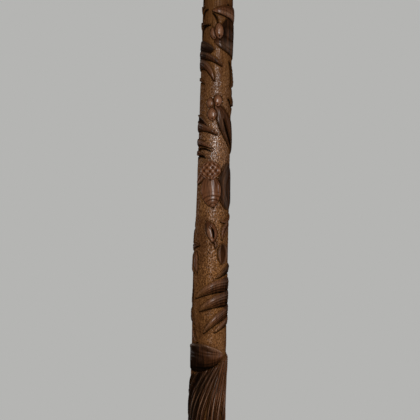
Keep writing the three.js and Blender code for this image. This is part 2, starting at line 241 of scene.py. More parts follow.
def nut_top(x, s):
    rings = ridges(9 * s - 0.7 * x**2, 4) * smooth_step(s, 0.5, 0.7)
    lines = ridges(3.5 * x, 6) * smooth_step(-s, -0.5, -0.3)
    height = (1 - 0.5 * x**2) * ends(s, 0.2) - 0.1 * rings - 0.06 * lines
    return height, 0.5 * rings + 0.35 * lines, 0.4 * bump(x, 0.4)


def cap_top(x, s):
    scales = np.cos(2 * np.pi * 1.9 * x) * np.cos(2 * np.pi * (2.7 * s + 0.2 * x**2))
    height = (1 - 0.5 * x**2) * ends(s, 0.3) + 0.16 * scales
    # Painted shade in the valleys between the scales and painted highlight on their tops.
    return height, 0.5 * smooth_step(-scales, 0, 0.9), 0.8 * smooth_step(scales, 0.1, 0.8)


def berry_top(x, s):
    eye = bump(x, 0.25) * bump(s - 0.84, 0.07)
    height = np.sqrt(1 - 0.8 * x**2) * ends(s, 0.4) - 0.3 * eye
    return height, 0.8 * eye, bump(x + 0.1, 0.5) * bump(s - 0.5, 0.3)


def strand_top(x, s):
    lines = ridges(1.1 * x + 0.5 * np.sin(6 * s) + 0.5, 2)
    height = (1 - 0.6 * np.abs(x) ** 1.4) * ends(s, 0.05) - 0.2 * lines
    return height, 0.8 * lines, 2.4 * bump(x - 0.1, 0.17)


def stem_top(x, s):
    return (1 - 0.6 * x**2) * ends(s, 0.05), 0 * x, 0.6 * bump(x, 0.5)


def broad_top(x, s):
    rim = bump(x + 0.93, 0.12)
    sway = 0.6 * np.sin(6 * s) + 0.3 * np.sin(7 * x + 3 * s)
    lines = ridges(2.3 * x + sway, 1.5) * smooth_step(s, 0.2, 0.5)
    height = (0.68 - 0.16 * x + 0.3 * rim - 0.07 * lines) * ends(s, 0.12)
    rub_and_highlight = rim + 0.35 * (1 - lines) * smooth_step(s, 0.45, 0.8) * smooth_step(-x, -0.3, 0.4)
    return height, 0.28 * lines + 0.6 * smooth_step(x, 0.1, 0.95), rub_and_highlight


def notch_top(x, s):
    return 1 - x**2, 1 - 0.5 * np.abs(x) ** 3, 0 * x


def petal_top(x, s):
    lines = ridges(2.2 * x + 0.5 * np.sin(5 * s + 2 * x), 6)
    height = (1 - 0.45 * x**2) * ends(s, 0.16) - 0.08 * lines
    return height, 0.25 * lines + 0.3 * smooth_step(x, 0.3, 1), 0.6 * bump(x + 0.55, 0.3)


TOPS = {
    "leaf": leaf_top,
    "scoop": scoop_top,
    "blade": blade_top,
    "bud": bud_top,
    "nut": nut_top,
    "cap": cap_top,
    "berry": berry_top,
    "strand": strand_top,
    "stem": stem_top,
    "broad": broad_top,
    "notch": notch_top,
    "petal": petal_top,
    "sepal": petal_top,
}

# Each row holds a motif's kind, the turn and height share of its root and its tip, its sideways bend as
# a share of its length, its half width and rise as shares of the shaft's head radius and of the relief's
# rise, and its stain at the root and the tip: 0 is light, 1 is dark, and more leaves no light streaks
FRONT_MOTIF_SHARES = [
    ("notch", -64, -0.03, -68, 0.012, 0.05, 0.05, -0.9, 1, 1),
    ("leaf", -128, 0.05, -62, 0.02, -0.2, 0.14, 0.7, 0.9, 0.7),
    ("notch", -66, 0.047, -44, 0.027, -0.24, 0.055, -1, 1, 1),
    ("leaf", -132, 0.09, -52, 0.062, -0.24, 0.16, 0.8, 0.9, 0.7),
    ("notch", -72, 0.095, -29, 0.064, -0.3, 0.06, -1, 1, 1),
    ("notch", 43, 0.014, 63, 0.024, 0.1, 0.05, -0.8, 1, 1),
    ("sepal", 118, 0.082, -9, 0.104, 0.02, 1.6, 0.9, 0.95, 0.8),
    ("sepal", 110, 0.043, -21, 0.031, 0.07, 0.5, 1, 0.7, 0.25),
    ("notch", -19, 0.036, 1, 0.058, -0.1, 0.03, -0.6, 1, 1),
    ("berry", -19, 0.071, -10, 0.099, 0, 0.17, 0.9, 0.5, 0.45),
    ("berry", 5, 0.06, 9, 0.097, 0, 0.22, 1.2, 0.4, 0.3),
    ("petal", -132, 0.12, -12, 0.122, -0.04, 0.42, 0.8, 1.2, 1.1),
    ("sepal", -122, 0.14, 20, 0.16, -0.15, 0.3, 0.9, 1, 0.7),
    ("sepal", -122, 0.164, -8, 0.195, -0.3, 0.34, 0.9, 1, 0.4),
    ("leaf", -112, 0.19, -50, 0.202, -0.1, 0.1, 0.7, 0.8, 0.7),
    ("leaf", 126, 0.143, 76, 0.21, -0.1, 0.26, 1.4, 0.85, 0.8),
    ("notch", 56, 0.148, 66, 0.207, -0.14, 0.06, -0.9, 1, 1),
    ("leaf", 128, 0.222, 76, 0.252, -0.1, 0.22, 1.3, 0.85, 0.8),
    ("notch", 54, 0.236, 80, 0.262, -0.12, 0.05, -0.9, 1, 1),
    ("petal", 124, 0.366, 2, 0.25, -0.02, 0.5, 1.1, 0.95, 0.6),
    ("notch", 82, 0.352, 32, 0.286, -0.04, 0.07, -0.6, 1, 1),
    ("berry", 9, 0.229, 9, 0.256, 0, 0.23, 1.2, 0.25, 0.2),
    ("berry", -21, 0.237, -18, 0.261, 0, 0.19, 1, 0.4, 0.3),
    ("berry", -13, 0.26, -9, 0.29, 0, 0.24, 1.2, 0.25, 0.2),
    ("scoop", -122, 0.283, -27, 0.306, -0.12, 0.24, 1, 1, 0.85),
    ("sepal", -124, 0.308, 8, 0.322, -0.12, 0.3, 0.9, 1, 0.5),
    ("sepal", -124, 0.342, -12, 0.354, -0.1, 0.24, 0.9, 0.9, 0.4),
    ("notch", -88, 0.362, -12, 0.361, -0.14, 0.026, -0.5, 1, 1),
    ("leaf", -122, 0.37, -40, 0.372, -0.1, 0.14, 0.9, 0.8, 0.6),
    ("notch", -88, 0.379, -34, 0.377, -0.16, 0.035, -0.9, 1, 1),
    ("petal", 72, 0.498, 60, 0.388, -0.06, 0.62, 1, 1, 0.85),
    ("leaf", -36, 0.402, -80, 0.438, -0.12, 0.22, 0.8, 0.3, 0.35),
    ("nut", -10, 0.413, 2, 0.493, 0.04, 0.56, 1.1, 0.5, 0.15),
    ("cap", -14, 0.385, -11, 0.428, 0, 0.6, 1.3, 0.2, 0.2),
    ("sepal", 92, 0.508, 32, 0.527, -0.12, 0.2, 0.7, 0.7, 0.35),
    ("leaf", 80, 0.528, 40, 0.57, 0.16, 0.2, 0.8, 0.6, 0.4),
    ("strand", -3, 0.57, 14, 0.588, -0.24, 0.06, 0.6, 0.5, 0.3),
    ("bud", -19, 0.527, 2, 0.575, -0.1, 0.28, 1.1, 0.5, 0.2),
    ("scoop", 38, 0.58, 38, 0.626, -0.08, 0.32, 0.9, 0.8, 0.5),
    ("leaf", -106, 0.544, -92, 0.588, 0.06, 0.2, 1, 0.9, 0.8),
    ("leaf", -118, 0.604, -46, 0.584, -0.14, 0.15, 0.9, 0.8, 0.6),
    ("leaf", -92, 0.6, -72, 0.65, 0.06, 0.22, 0.9, 0.6, 0.4),
    ("leaf", -58, 0.6, -50, 0.648, 0.06, 0.14, 0.7, 0.3, 0.2),
    ("blade", 126, 0.636, 20, 0.66, 0.1, 0.3, 1, 1.1, 1),
    ("blade", 126, 0.684, -54, 0.708, 0.14, 0.52, 0.9, 1.28, 0),
    ("blade", 126, 0.714, -38, 0.738, 0.13, 0.54, 0.9, 1.28, 0),
    ("blade", 126, 0.736, -20, 0.789, 0.14, 0.4, 0.9, 1.28, 0),
    ("blade", 122, 0.758, 18, 0.787, 0.11, 0.3, 0.8, 1.28, 0),
    ("notch", -76, 0.668, -78, 0.738, 0, 0.06, -1, 1, 1),
    ("leaf", -122, 0.66, -94, 0.728, 0.08, 0.22, 0.9, 1, 0.9),
    ("leaf", -124, 0.735, -64, 0.77, -0.1, 0.2, 0.9, 0.95, 0.7),
    ("broad", -124, 0.852, 58, 0.843, -0.01, 0.76, 1, 2, 0.1),
    ("strand", -42, 0.812, -62, 0.782, -0.12, 0.06, 1, 0.4, 0.2),
]

STRAND_COUNT = 15
STRAND_ROOT_TURNS = (-50, 132)
STRAND_ROOT_SHARES = (0.885, 0.83)
STRAND_TIP_TURNS = (-122, 84)
STRAND_TIP_SHARES = (0.99, 1.06)
STRAND_BEND_SHARE = 0.06
STRAND_WIDTH_SHARES = (0.09, 0.2)
STRAND_RISE_SHARES = (0.6, 1.5)
STRAND_JITTER = 8
STRAND_FIRST_STAIN = 1.65
STRAND_LAST_STAINS = (0.2, 1)
STRAND_STAIN_POWER = 0.62
STRAND_ROOT_STAIN_SHARE = 0.65

# Each spray's row holds its turn, the heights of its foot and head, and how many degrees it leans by
LEAVES_PER_SPRAY = 9
SPRAY_REACH_SHARE = 0.56
SPRAY_CLIMB_SHARE = 0.11
SPRAY_BEND_SHARE = 0.14
SPRAY_WIDTH_SHARE = 0.32
SPRAY_RISE_SHARE = 0.9
SPRAY_STEM_SHARE = 0.1
SPRAY_STAIN = 0.6
SPRAYS = [
    (180, CARVING_MIDDLE, CARVING_HEAD, 24),
    (20, CARVING_FOOT, CARVING_MIDDLE, -34),
    (200, CARVING_FOOT, CARVING_MIDDLE, 30),
]

# How strongly the ground is punched and gouged, and how pale and glossy it is, at shares of the front
# carving's height
GROUND_SHARES = [-0.7, -0.62, -0.2, 0, 0.14, 0.19, 0.24, 0.35, 0.45, 0.64, 0.7, 0.82, 0.86, 1, 1.05]
PUNCH_STRENGTHS = [0, 0.8, 0.8, 0.2, 0.15, 0.5, 0.9, 1, 1, 1, 0.5, 0.35, 0.3, 0.2, 0]
GOUGE_STRENGTHS = [0.25, 0.2, 0.2, 1, 0.8, 0.4, 0.15, 0.1, 0.1, 0.15, 0.9, 0.9, 0.4, 0.3, 0.3]
PALE_STRENGTHS = [0.2, 0.3, 0.3, 0.1, 0.35, 0.4, 0.5, 0.8, 0.7, 0.75, 0.7, 0.6, 0.4, 0.3, 0.2]
GLOSS_STRENGTHS = [0.15, 0.15, 0.15, 0.08, 0.15, 0.3, 0.5, 0.95, 0.5, 0.18, 0.12, 0.15, 0.15, 0.15, 0.15]

# The ground is painted lightest, and is glossiest, along the front that faces the camera and the key
# lamp, which turns between two shares of that height; away from it the ground is painted darker, as shade
LIT_FRONT_TURNS = (3, 24)
LIT_FRONT_TURN_SHARES = (0.45, 0.8)
LIT_FRONT_WIDTH = 42
SIDE_GLOSS_SHARE = 0.08

# The share of its length over which a kind of motif fades to bare wood at its tip
FADING_SHARES = {"blade": 0.4}


def nearest_on(line, spots):
    """Share along a line of points, signed distance from it and facing along Z, at each spot."""
    starts = line[:-1]
    steps = line[1:] - starts
    reach = spots[:, None] - starts[None]
    share = np.clip((reach * steps).sum(2) / (steps**2).sum(1), 0, 1)
    gaps = reach - share[..., None] * steps
    distances = np.hypot(gaps[..., 0], gaps[..., 1])
    best = distances.argmin(1)
    rows = np.arange(len(spots))
    distance = distances[rows, best]
    step = steps[best]
    gap = gaps[rows, best]
    side = np.where(step[:, 0] * gap[:, 1] - step[:, 1] * gap[:, 0] < 0, -1, 1)
    facing = gap[:, 1] / np.maximum(distance, LEAST_DISTANCE)
    return (best + share[rows, best]) / len(steps), side * distance, facing


class Carving:
    """The carved surface at each of a wall's points: how far it lifts, and what its colour follows: stain,
    painted shade and painted highlight.
    """

    NAMES = ("raised", "stain", "cut", "pit", "crest", "pale", "gloss")

    def __init__(self, turn, height):
        self.turn = turn
        self.height = height
        self.slope = mix(EDGE_SLOPE, BACK_EDGE_SLOPE, (1 - np.cos(np.radians(turn))) / 2)
        self.lift = np.zeros(len(turn))
        for name in self.NAMES:
            setattr(self, name, np.zeros(len(turn)))

    def lay(self, kind, root, tip, bend, half_width, rise, stains):
        """Lays a motif over what is there already, with a cut ditch along its edge, painted dark as shade.
        """
        middle_turn = (root[0] + tip[0]) / 2
        mm_per_degree = math.radians(shaft_radius(middle_turn, (root[1] + tip[1]) / 2))
        start = np.array([root[0] * mm_per_degree, root[1]])
        along = np.array([tip[0] * mm_per_degree, tip[1]]) - start
        length = math.hypot(*along)
        across = np.array([-along[1], along[0]]) / length
        steps = np.linspace(0, 1, MOTIF_STEPS)[:, None]
        line = start + along * steps + across * bend * length * 4 * steps * (1 - steps)
        turn = (self.turn - middle_turn + 180) % 360 - 180 + middle_turn
        spots = np.stack([turn * mm_per_degree, self.height], axis=1)
        reach = half_width + 2 * HALO_WIDTH
        near = np.all((spots > line.min(0) - reach) & (spots < line.max(0) + reach), axis=1).nonzero()[0]
        if not len(near):
            return
        s, offset, facing = nearest_on(line, spots[near])
        width = half_width * WIDTHS[kind](s)
        past = np.abs(offset) - width
        x = np.clip(offset / np.maximum(width, LEAST_WIDTH), -1, 1)
        height, dark, crest = TOPS[kind](x, s)
        slope = self.slope[near]
        cover = 1 - smooth_step(past / slope, -0.5, 0.5)
        open_ground = 1 - cover
        # Painted shade: the ditch and the halo beside it darken the colour, most on the side facing up the
        # shaft, and the motif's own dark lines and shaded side are painted in too.
        strength = mix(WEAK_DITCH_SHARE, 1, (facing + 1) / 2)
        ditch = bump(past - DITCH_OFFSET, DITCH_WIDTH) * strength * open_ground
        halo = HALO_SHARE * bump(past, HALO_WIDTH) * strength * open_ground
        top = rise * height + UNDERLAY_SHARE * self.lift[near]
        self.lift[near] = self.lift[near] * open_ground + top * cover - DITCH_DEPTH * ditch
        solid = smooth_step(1 - s, 0, FADING_SHARES[kind]) if kind in FADING_SHARES else 1
        self.raised[near] = self.raised[near] * open_ground + cover * solid
        self.stain[near] = self.stain[near] * open_ground + mix(stains[0], stains[1], s) * cover
        self.cut[near] = np.maximum.reduce([self.cut[near] * open_ground, ditch, halo, dark * cover])
        # Painted highlight, partly rubbed wear, on the motif's ridges, rims and domes.
        self.crest[near] = self.crest[near] * open_ground + crest * cover

    def punch(self, strength):
        """Small punched pits in jittered rows all over the ground."""
        around = round(2 * math.pi * SHAFT_HEAD_RADIUS / PUNCH_SPACING)
        rows = math.ceil(SHAFT_SHOULDER / PUNCH_SPACING) + 2
        jitter = np.random.default_rng(SEED).random((rows, around, 3))
        column = self.turn / 360 * around
        row = self.height / PUNCH_SPACING
        first_column = np.floor(column).astype(int)
        first_row = np.floor(row).astype(int)
        pit = np.zeros(len(self.turn))
        for down in (-1, 0, 1):
            for over in (-1, 0, 1):
                here = jitter[(first_row + down) % rows, (first_column + over) % around]
                stray = PUNCH_STRAY_SHARE * here - PUNCH_START_SHARE
                wide = (first_column + over + stray[:, 0] - column) * PUNCH_SPACING
                tall = (first_row + down + stray[:, 1] - row) * PUNCH_SPACING / PUNCH_TALL_SHARE
                size = PUNCH_RADIUS * mix(*PUNCH_SIZE_SHARES, here[:, 2])
                pit = np.maximum(pit, np.clip(1 - (wide / size) ** 2 - (tall / size) ** 2, 0, 1))
        self.pit = np.sqrt(pit) * strength * (1 - self.raised)
        self.lift -= PUNCH_DEPTH * self.pit

    def gouge(self, points, strength):
        """Long shallow flutes left by the gouge, coloured darker along their hollows."""
        across = np.radians(self.turn) * SHAFT_HEAD_RADIUS / GOUGE_WIDTH
        depth = GOUGE_DEPTH_SHARE + ripple(points, GOUGE_UNEVENNESS)
        flutes = depth * ridges(across + ripple(points, GOUGE_WANDER), 1)
        ground = 1 - self.raised
        self.lift -= GOUGE_DEPTH * flutes * strength * ground
        self.cut = np.maximum(self.cut, GOUGE_DARKENING_SHARE * flutes**2 * strength * ground)


def lay_front(carving):
    for kind, *numbers in FRONT_MOTIF_SHARES:
        root_turn, root_share, tip_turn, tip_share, bend, width, rise, root_stain, tip_stain = numbers
        carving.lay(
            kind,
            (root_turn, CARVING_MIDDLE + FRONT_CARVING * root_share),
            (tip_turn, CARVING_MIDDLE + FRONT_CARVING * tip_share),
            bend,
            SHAFT_HEAD_RADIUS * width,
            RELIEF_RISE * rise,
            (root_stain, tip_stain),
        )


def lay_strands(carving):
    """Strands of uneven width that fan out under the broad leaf and run on to the neck."""
    random = np.random.default_rng(SEED)
    for s in np.linspace(0, 1, STRAND_COUNT):
        width, rise, light, root_sway, tip_sway = random.random(5)
        root_turn = mix(*STRAND_ROOT_TURNS, s) + mix(-STRAND_JITTER, STRAND_JITTER, root_sway)
        tip_turn = mix(*STRAND_TIP_TURNS, s) + mix(-STRAND_JITTER, STRAND_JITTER, tip_sway)
        root_height = CARVING_MIDDLE + FRONT_CARVING * mix(*STRAND_ROOT_SHARES, s)
        tip_height = CARVING_MIDDLE + FRONT_CARVING * mix(*STRAND_TIP_SHARES, s)
        stain = mix(STRAND_FIRST_STAIN, mix(*STRAND_LAST_STAINS, light), s**STRAND_STAIN_POWER)
        carving.lay(
            "strand",
            (root_turn, root_height),
            (tip_turn, min(tip_height, SHAFT_SHOULDER)),
            STRAND_BEND_SHARE,
            SHAFT_HEAD_RADIUS * mix(*STRAND_WIDTH_SHARES, width),
            RELIEF_RISE * mix(*STRAND_RISE_SHARES, rise),
            (stain * STRAND_ROOT_STAIN_SHARE, stain),
        )


def lay_spray(carving, turn, foot, head, lean):
    """A stem with leaves on both sides by turns."""
    tall = head - foot
    rise = RELIEF_RISE * SPRAY_RISE_SHARE
    stains = (SPRAY_STAIN, SPRAY_STAIN)
    stem_width = SHAFT_HEAD_RADIUS * SPRAY_STEM_SHARE
    ends_of_stem = (turn - lean / 2, foot), (turn + lean / 2, head)
    carving.lay("stem", *ends_of_stem, SPRAY_BEND_SHARE / 4, stem_width, rise, stains)
    for leaf in range(LEAVES_PER_SPRAY):
        s = (leaf + 1) / (LEAVES_PER_SPRAY + 1)
        side = 1 if leaf % 2 == 0 else -1
        root_turn = turn + lean * (s - 1 / 2)
        root_height = foot + tall * (s - SPRAY_CLIMB_SHARE / 4)
        reach = 2 * side * math.degrees(SPRAY_REACH_SHARE)
        carving.lay(
            "leaf",
            (root_turn, root_height),
            (root_turn + reach, root_height + tall * SPRAY_CLIMB_SHARE),
            -side * SPRAY_BEND_SHARE,
            SHAFT_HEAD_RADIUS * SPRAY_WIDTH_SHARE,
            rise,
            stains,
        )


def carve(turn, height):
    """Works the whole carving at the given places on the shaft."""
    points = round_the_shaft(turn, SHAFT_HEAD_RADIUS, height)
    share = (height - CARVING_MIDDLE) / FRONT_CARVING
    carving = Carving(turn, height)
    for spray in SPRAYS:
        lay_spray(carving, *spray)
    lay_strands(carving)
    lay_front(carving)
    carving.gouge(points, np.interp(share, GROUND_SHARES, GOUGE_STRENGTHS))
    carving.punch(np.interp(share, GROUND_SHARES, PUNCH_STRENGTHS))
    lit_front_turn = mix(*LIT_FRONT_TURNS, smooth_step(share, *LIT_FRONT_TURN_SHARES))
    painted_lit_front = bump(turn - lit_front_turn, LIT_FRONT_WIDTH)
    # Painted shade: the open ground is darkened away from the lit front, so it is lightest along it.
    carving.stain += (1 - painted_lit_front) * (1 - carving.raised)
    carving.pale = np.interp(share, GROUND_SHARES, PALE_STRENGTHS)
    carving.gloss = np.interp(share, GROUND_SHARES, GLOSS_STRENGTHS) * mix(SIDE_GLOSS_SHARE, 1, painted_lit_front)
    carving.lift += ripple(points, SHAFT_UNEVENNESS)
    return carving


# Meshes. Two points count as one within the first length on the shaft, and the second on a spun piece.
SAME_PLACE = 0.001
SAME_POINT = 0.0001
EDGE_SOFTNESS = 0.5
CORNER_SHARE = 0.45
CORNER_STEPS = 4
FINE_SIDES = 96
COLLAR_SIDES = 128
PIN_SIDES = 24


def mesh_from(name, bm):
    mesh = bpy.data.meshes.new(name)
    bm.to_mesh(mesh)
    bm.free()
    return mesh


def places_in(mesh):
    places = np.empty(len(mesh.vertices) * 3)
    mesh.vertices.foreach_get("co", places)
    return places.reshape(-1, 3)


def put_in_scene(name, data):
    thing = bpy.data.objects.new(name, data)
    bpy.context.scene.collection.objects.link(thing)
    return thing


def piece_from(name, bm, material, body, node):
    """Finishes a mesh in millimetres as a piece that rides on a body and stands for a CAD node."""
    bmesh.ops.recalc_face_normals(bm, faces=bm.faces)
    for face in bm.faces:
        face.smooth = True
    mesh = mesh_from(name, bm)
    mesh.vertices.foreach_set("co", (places_in(mesh) / MM_PER_METRE).ravel())
    mesh.materials.append(material)
    piece = put_in_scene(name, mesh)
    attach(piece, body)
    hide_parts(node)
    return piece


def rolled_tube(columns, heights):
    """An open tube of radius 1 round Z, with rows at the heights and its columns crowded at the front."""
    bm = bmesh.new()
    rows = len(heights) - 1
    bmesh.ops.create_grid(bm, x_segments=columns, y_segments=rows, size=0.5)
    seam = []
    for vert in bm.verts:
        around = 2 * math.pi * vert.co.x
        turn = around - FRONT_CROWDING * math.sin(around)
        if abs(abs(vert.co.x) - 0.5) < SAME_PLACE:
            seam.append(vert)
        vert.co = (-math.sin(turn), -math.cos(turn), heights[round((vert.co.y + 0.5) * rows)])
    bmesh.ops.remove_doubles(bm, verts=seam, dist=SAME_PLACE)
    return bm


def step_end(bm, height, steps):
    """Carries the tube's open end at a height on through steps of radius and height, and closes it."""
    edges = [e for e in bm.edges if e.is_boundary and abs(e.verts[0].co.z - height) < SAME_PLACE]
    for radius, level in steps:
        for edge in edges:
            edge.smooth = False
        made = bmesh.ops.extrude_edge_only(bm, edges=edges)["geom"]
        verts = {v for v in made if isinstance(v, bmesh.types.BMVert)}
        for vert in verts:
            flat = vert.co.xy.normalized() * radius
            vert.co = (flat.x, flat.y, level)
        edges = [e for e in made if isinstance(e, bmesh.types.BMEdge) and verts.issuperset(e.verts)]
    for edge in edges:
        edge.smooth = False
    bmesh.ops.contextual_create(bm, geom=edges)


def carved_piece(name, columns, heights, foot_steps, head_steps, material):
    """A length of the shaft, carved all round, with the attributes its colour follows: stain, painted
    shade and painted highlight.
    """
    mesh = mesh_from(name, rolled_tube(columns, heights))
    x, y, height = places_in(mesh).T
    turn = np.degrees(np.arctan2(-x, -y))
    carving = carve(turn, height)
    carved = round_the_shaft(turn, shaft_radius(turn, height) + carving.lift, height)
    mesh.vertices.foreach_set("co", carved.ravel())
    for attribute in Carving.NAMES:
        values = np.array(getattr(carving, attribute), np.float32)
        mesh.attributes.new(attribute, "FLOAT", "POINT").data.foreach_set("value", values)
    bm = bmesh.new()
    bm.from_mesh(mesh)
    bpy.data.meshes.remove(mesh)
    step_end(bm, heights[0], foot_steps)
    step_end(bm, heights[-1], head_steps)
    piece_from(name, bm, material, "cane", "shaft")


def softened(profile):
    """A profile of (radius, height) points with each inner corner rounded, as far as its sides allow."""
    points = [Vector(point) for point in profile]
    outline = [points[0]]
    for before, corner, after in zip(points, points[1:], points[2:]):
        into, out = before - corner, after - corner
        cut = min(EDGE_SOFTNESS, into.length * CORNER_SHARE, out.length * CORNER_SHARE)
        first, last = corner + into.normalized() * cut, corner + out.normalized() * cut
        for step in range(CORNER_STEPS + 1):
            s = step / CORNER_STEPS
            outline.append(first * (1 - s) ** 2 + corner * 2 * s * (1 - s) + last * s**2)
    return outline + [points[-1]]


def spun(profile, segments, axis="Z"):
    """A closed piece turned from a profile of (radius, place along the axis) points. The profile starts
    and ends on the axis, or closes on itself."""
    bm = bmesh.new()
    place = (lambda p: (p[0], 0, p[1])) if axis == "Z" else (lambda p: (p[1], p[0], 0))
    verts = [bm.verts.new(place(point)) for point in profile]
    edges = [bm.edges.new(pair) for pair in zip(verts, verts[1:])]
    bmesh.ops.spin(
        bm,
        geom=verts + edges,
        cent=(0, 0, 0),
        axis=(0, 0, 1) if axis == "Z" else (1, 0, 0),
        angle=2 * math.pi,
        steps=segments,
        use_merge=True,
    )
    bmesh.ops.remove_doubles(bm, verts=bm.verts, dist=SAME_POINT)
    return bm


# Shader values and finishes
def tint(red, green, blue):
    """A colour written as it looks on screen, from 0 to 255, as a shader's linear colour."""
    shares = [level / 255 for level in (red, green, blue)]
    linear = [share / 12.92 if share <= 0.04045 else ((share + 0.055) / 1.055) ** 2.4 for share in shares]
    return (*linear, 1)


class Value:
    """A shader socket that adds, subtracts and multiplies."""

    def __init__(self, finish, socket):
        self.finish = finish
        self.socket = socket

    def math(self, operation, *values, **settings):
        settings["operation"] = operation
        return self.finish.node("ShaderNodeMath", settings, dict(enumerate(values)))

    def __add__(self, other):
        return self.math("ADD", self, other)

    def __sub__(self, other):
        return self.math("SUBTRACT", self, other)

    def __rsub__(self, other):
        return self.math("SUBTRACT", other, self)

    def __mul__(self, other):
        return self.math("MULTIPLY", self, other)

    __radd__ = __add__
    __rmul__ = __mul__

    def clamped(self):
        return self.math("MULTIPLY", self, 1, use_clamp=True)

    def between(self, low, high):
        """0 below low and 1 above high, with a smooth rise."""
        values = {"Value": self, "From Min": low, "From Max": high}
        return self.finish.node("ShaderNodeMapRange", {"interpolation_type": "SMOOTHSTEP"}, values)


class Finish:
    """The shader nodes of a material, or of a world."""

    def __init__(self, name, owners=bpy.data.materials):
        self.owner = owners.new(name)
        self.owner.use_nodes = True
        self.nodes = self.owner.node_tree.nodes
        self.nodes.clear()
        self.links = self.owner.node_tree.links

    def node(self, kind, settings=None, values=None, output=0):
        """Makes a node, sets it, gives its sockets values or links, and returns one output."""
        made = self.nodes.new(kind)
        for name, setting in (settings or {}).items():
            setattr(made, name, setting)
        for key, value in (values or {}).items():
            if isinstance(value, Value):
                self.links.new(value.socket, made.inputs[key])
            else:
                made.inputs[key].default_value = value
        return Value(self, made.outputs[output])

    def place(self, *size):
        """Object coordinates, counted in the given sizes in millimetres along X, Y and Z."""
        there = self.node("ShaderNodeTexCoord", output="Object")
        scale = [MM_PER_METRE / length for length in size]
        return self.node("ShaderNodeMapping", values={"Vector": there, "Scale": scale})

    def noise(self, size, detail=2, roughness=0.5, distortion=0):
        """Noise, with its size in millimetres along X, Y and Z."""
        values = {"Vector": self.place(*size), "Scale": 1, "Detail": detail}
        values |= {"Roughness": roughness, "Distortion": distortion}
        return self.node("ShaderNodeTexNoise", values=values, output="Fac")

    def attribute(self, name):
        return self.node("ShaderNodeAttribute", {"attribute_name": name}, output="Fac")

    def blend(self, share, low, high):
        """The low colour at a share of 0, turning to the high one at 1."""
        settings = {"data_type": "RGBA", "clamp_factor": True}
        return self.node("ShaderNodeMix", settings, {0: share, 6: low, 7: high}, output=2)

    def bump(self, height, distance):
        """A bump that lifts a height of 1 by a distance in millimetres."""
        values = {"Height": height, "Distance": distance / MM_PER_METRE, "Strength": 1}
        return self.node("ShaderNodeBump", values=values)

    def done(self, **values):
        """Closes the material with a Principled shader whose sockets are named with _ for a space."""
        named = {name.replace("_", " "): value for name, value in values.items()}
        self.close(self.node("ShaderNodeBsdfPrincipled", values=named))
        return self.owner

    def close(self, shader, kind="ShaderNodeOutputMaterial"):
        end = self.nodes.new(kind)
        self.links.new(shader.socket, end.inputs["Surface"])


def carved_wood():
    """Stained and varnished hardwood: golden punched ground, darker motifs, black painted shade in the
    cuts, painted highlight and wear on the crests, and ground painted lighter on the lit front.
    """
    f = Finish("carved_wood")
    raised, stain, cut, pit, crest, pale, gloss = [f.attribute(name) for name in Carving.NAMES]
    ground = 1 - raised
    streaks = f.noise((1.3, 1.3, 24), detail=4, roughness=0.6, distortion=0.4)
    fibres = f.noise((0.42, 0.42, 9), detail=3)
    clouds = f.noise((13, 13, 26), detail=4, roughness=0.6)
    pores = f.noise((0.5, 0.5, 4), detail=2).between(0.62, 0.72)
    flecks = f.noise((0.9, 0.9, 1.4), detail=4, roughness=0.6)
    dot_cells = {"Vector": f.place(1.1, 1.1, 1.5), "Scale": 1}
    from_dot = f.node("ShaderNodeTexVoronoi", values=dot_cells, output="Distance")
    dots = (1 - from_dot.between(0.16, 0.42)) * ground * pale
    dark_ground = f.blend(streaks.between(0.32, 0.68), tint(50, 28, 12), tint(100, 66, 34))
    pale_ground = f.blend(flecks.between(0.34, 0.62), tint(80, 47, 22), tint(156, 106, 60))
    bare = f.blend(pale, dark_ground, pale_ground)
    bare = f.blend(clouds.between(0.45, 0.68) * 0.6, bare, tint(70, 39, 19))
    bare = f.blend(streaks.between(0.5, 0.64) * pale * 0.5, bare, tint(64, 36, 16))
    # Painted shade: on the open ground this darkening is the shade painted away from the lit front.
    bare = f.blend(stain.clamped() * 0.5, bare, tint(52, 28, 11))
    red_wood = f.blend(fibres.between(0.3, 0.7), tint(72, 38, 18), tint(115, 70, 41))
    dark_wood = f.blend(fibres, tint(11, 6, 3), tint(36, 21, 13))
    uneven_stain = stain + (clouds - 0.5) * 0.9 + (streaks - 0.5) * 1.4
    figure = f.blend(uneven_stain.clamped(), red_wood, dark_wood)
    colour = f.blend(raised, bare, figure)
    # Painted highlight, partly rubbed wear: crests, rims and domes are painted lighter.
    wear_and_highlight = crest * (1 - stain.clamped() * 0.75) * (fibres.between(0.3, 0.6) * 0.5 + 0.3)
    colour = f.blend(wear_and_highlight.clamped(), colour, tint(134, 96, 69))
    colour = f.blend(pores * 0.4, colour, tint(34, 20, 12))
    colour = f.blend((pit * 0.45 + dots * 0.85).clamped(), colour, tint(42, 24, 12))
    # Near black: painted shade in the ditches, the motifs' lines and hollows and beside the motifs, and a
    # darkening along the flutes.
    colour = f.blend((cut * 1.3).clamped(), colour, tint(7, 4, 2))
    grain = streaks * 0.5 + fibres * 0.35 + pores * -0.4 + dots * -0.8
    roughness = (clouds * 0.12 + pit * 0.2 + cut * 0.3 + fibres * 0.12 + 0.4).clamped()
    specks = flecks.between(0.4, 0.62)
    plain = 1 - stain.clamped()
    rubbed_gloss = raised * plain * 0.12 + crest * (plain * 0.26 + 0.08)
    varnish = gloss * ground * (specks * 0.7 + 0.3) + rubbed_gloss
    return f.done(
        Base_Color=colour,
        Roughness=roughness,
        Specular_IOR_Level=0.0,
        Coat_Weight=(varnish + 0.05 - cut * 0.5 - pit * 0.2 - dots * 0.3).clamped(),
        Coat_Roughness=0.27,
        Coat_IOR=1.7,
        Normal=f.bump(grain, 0.14),
    )


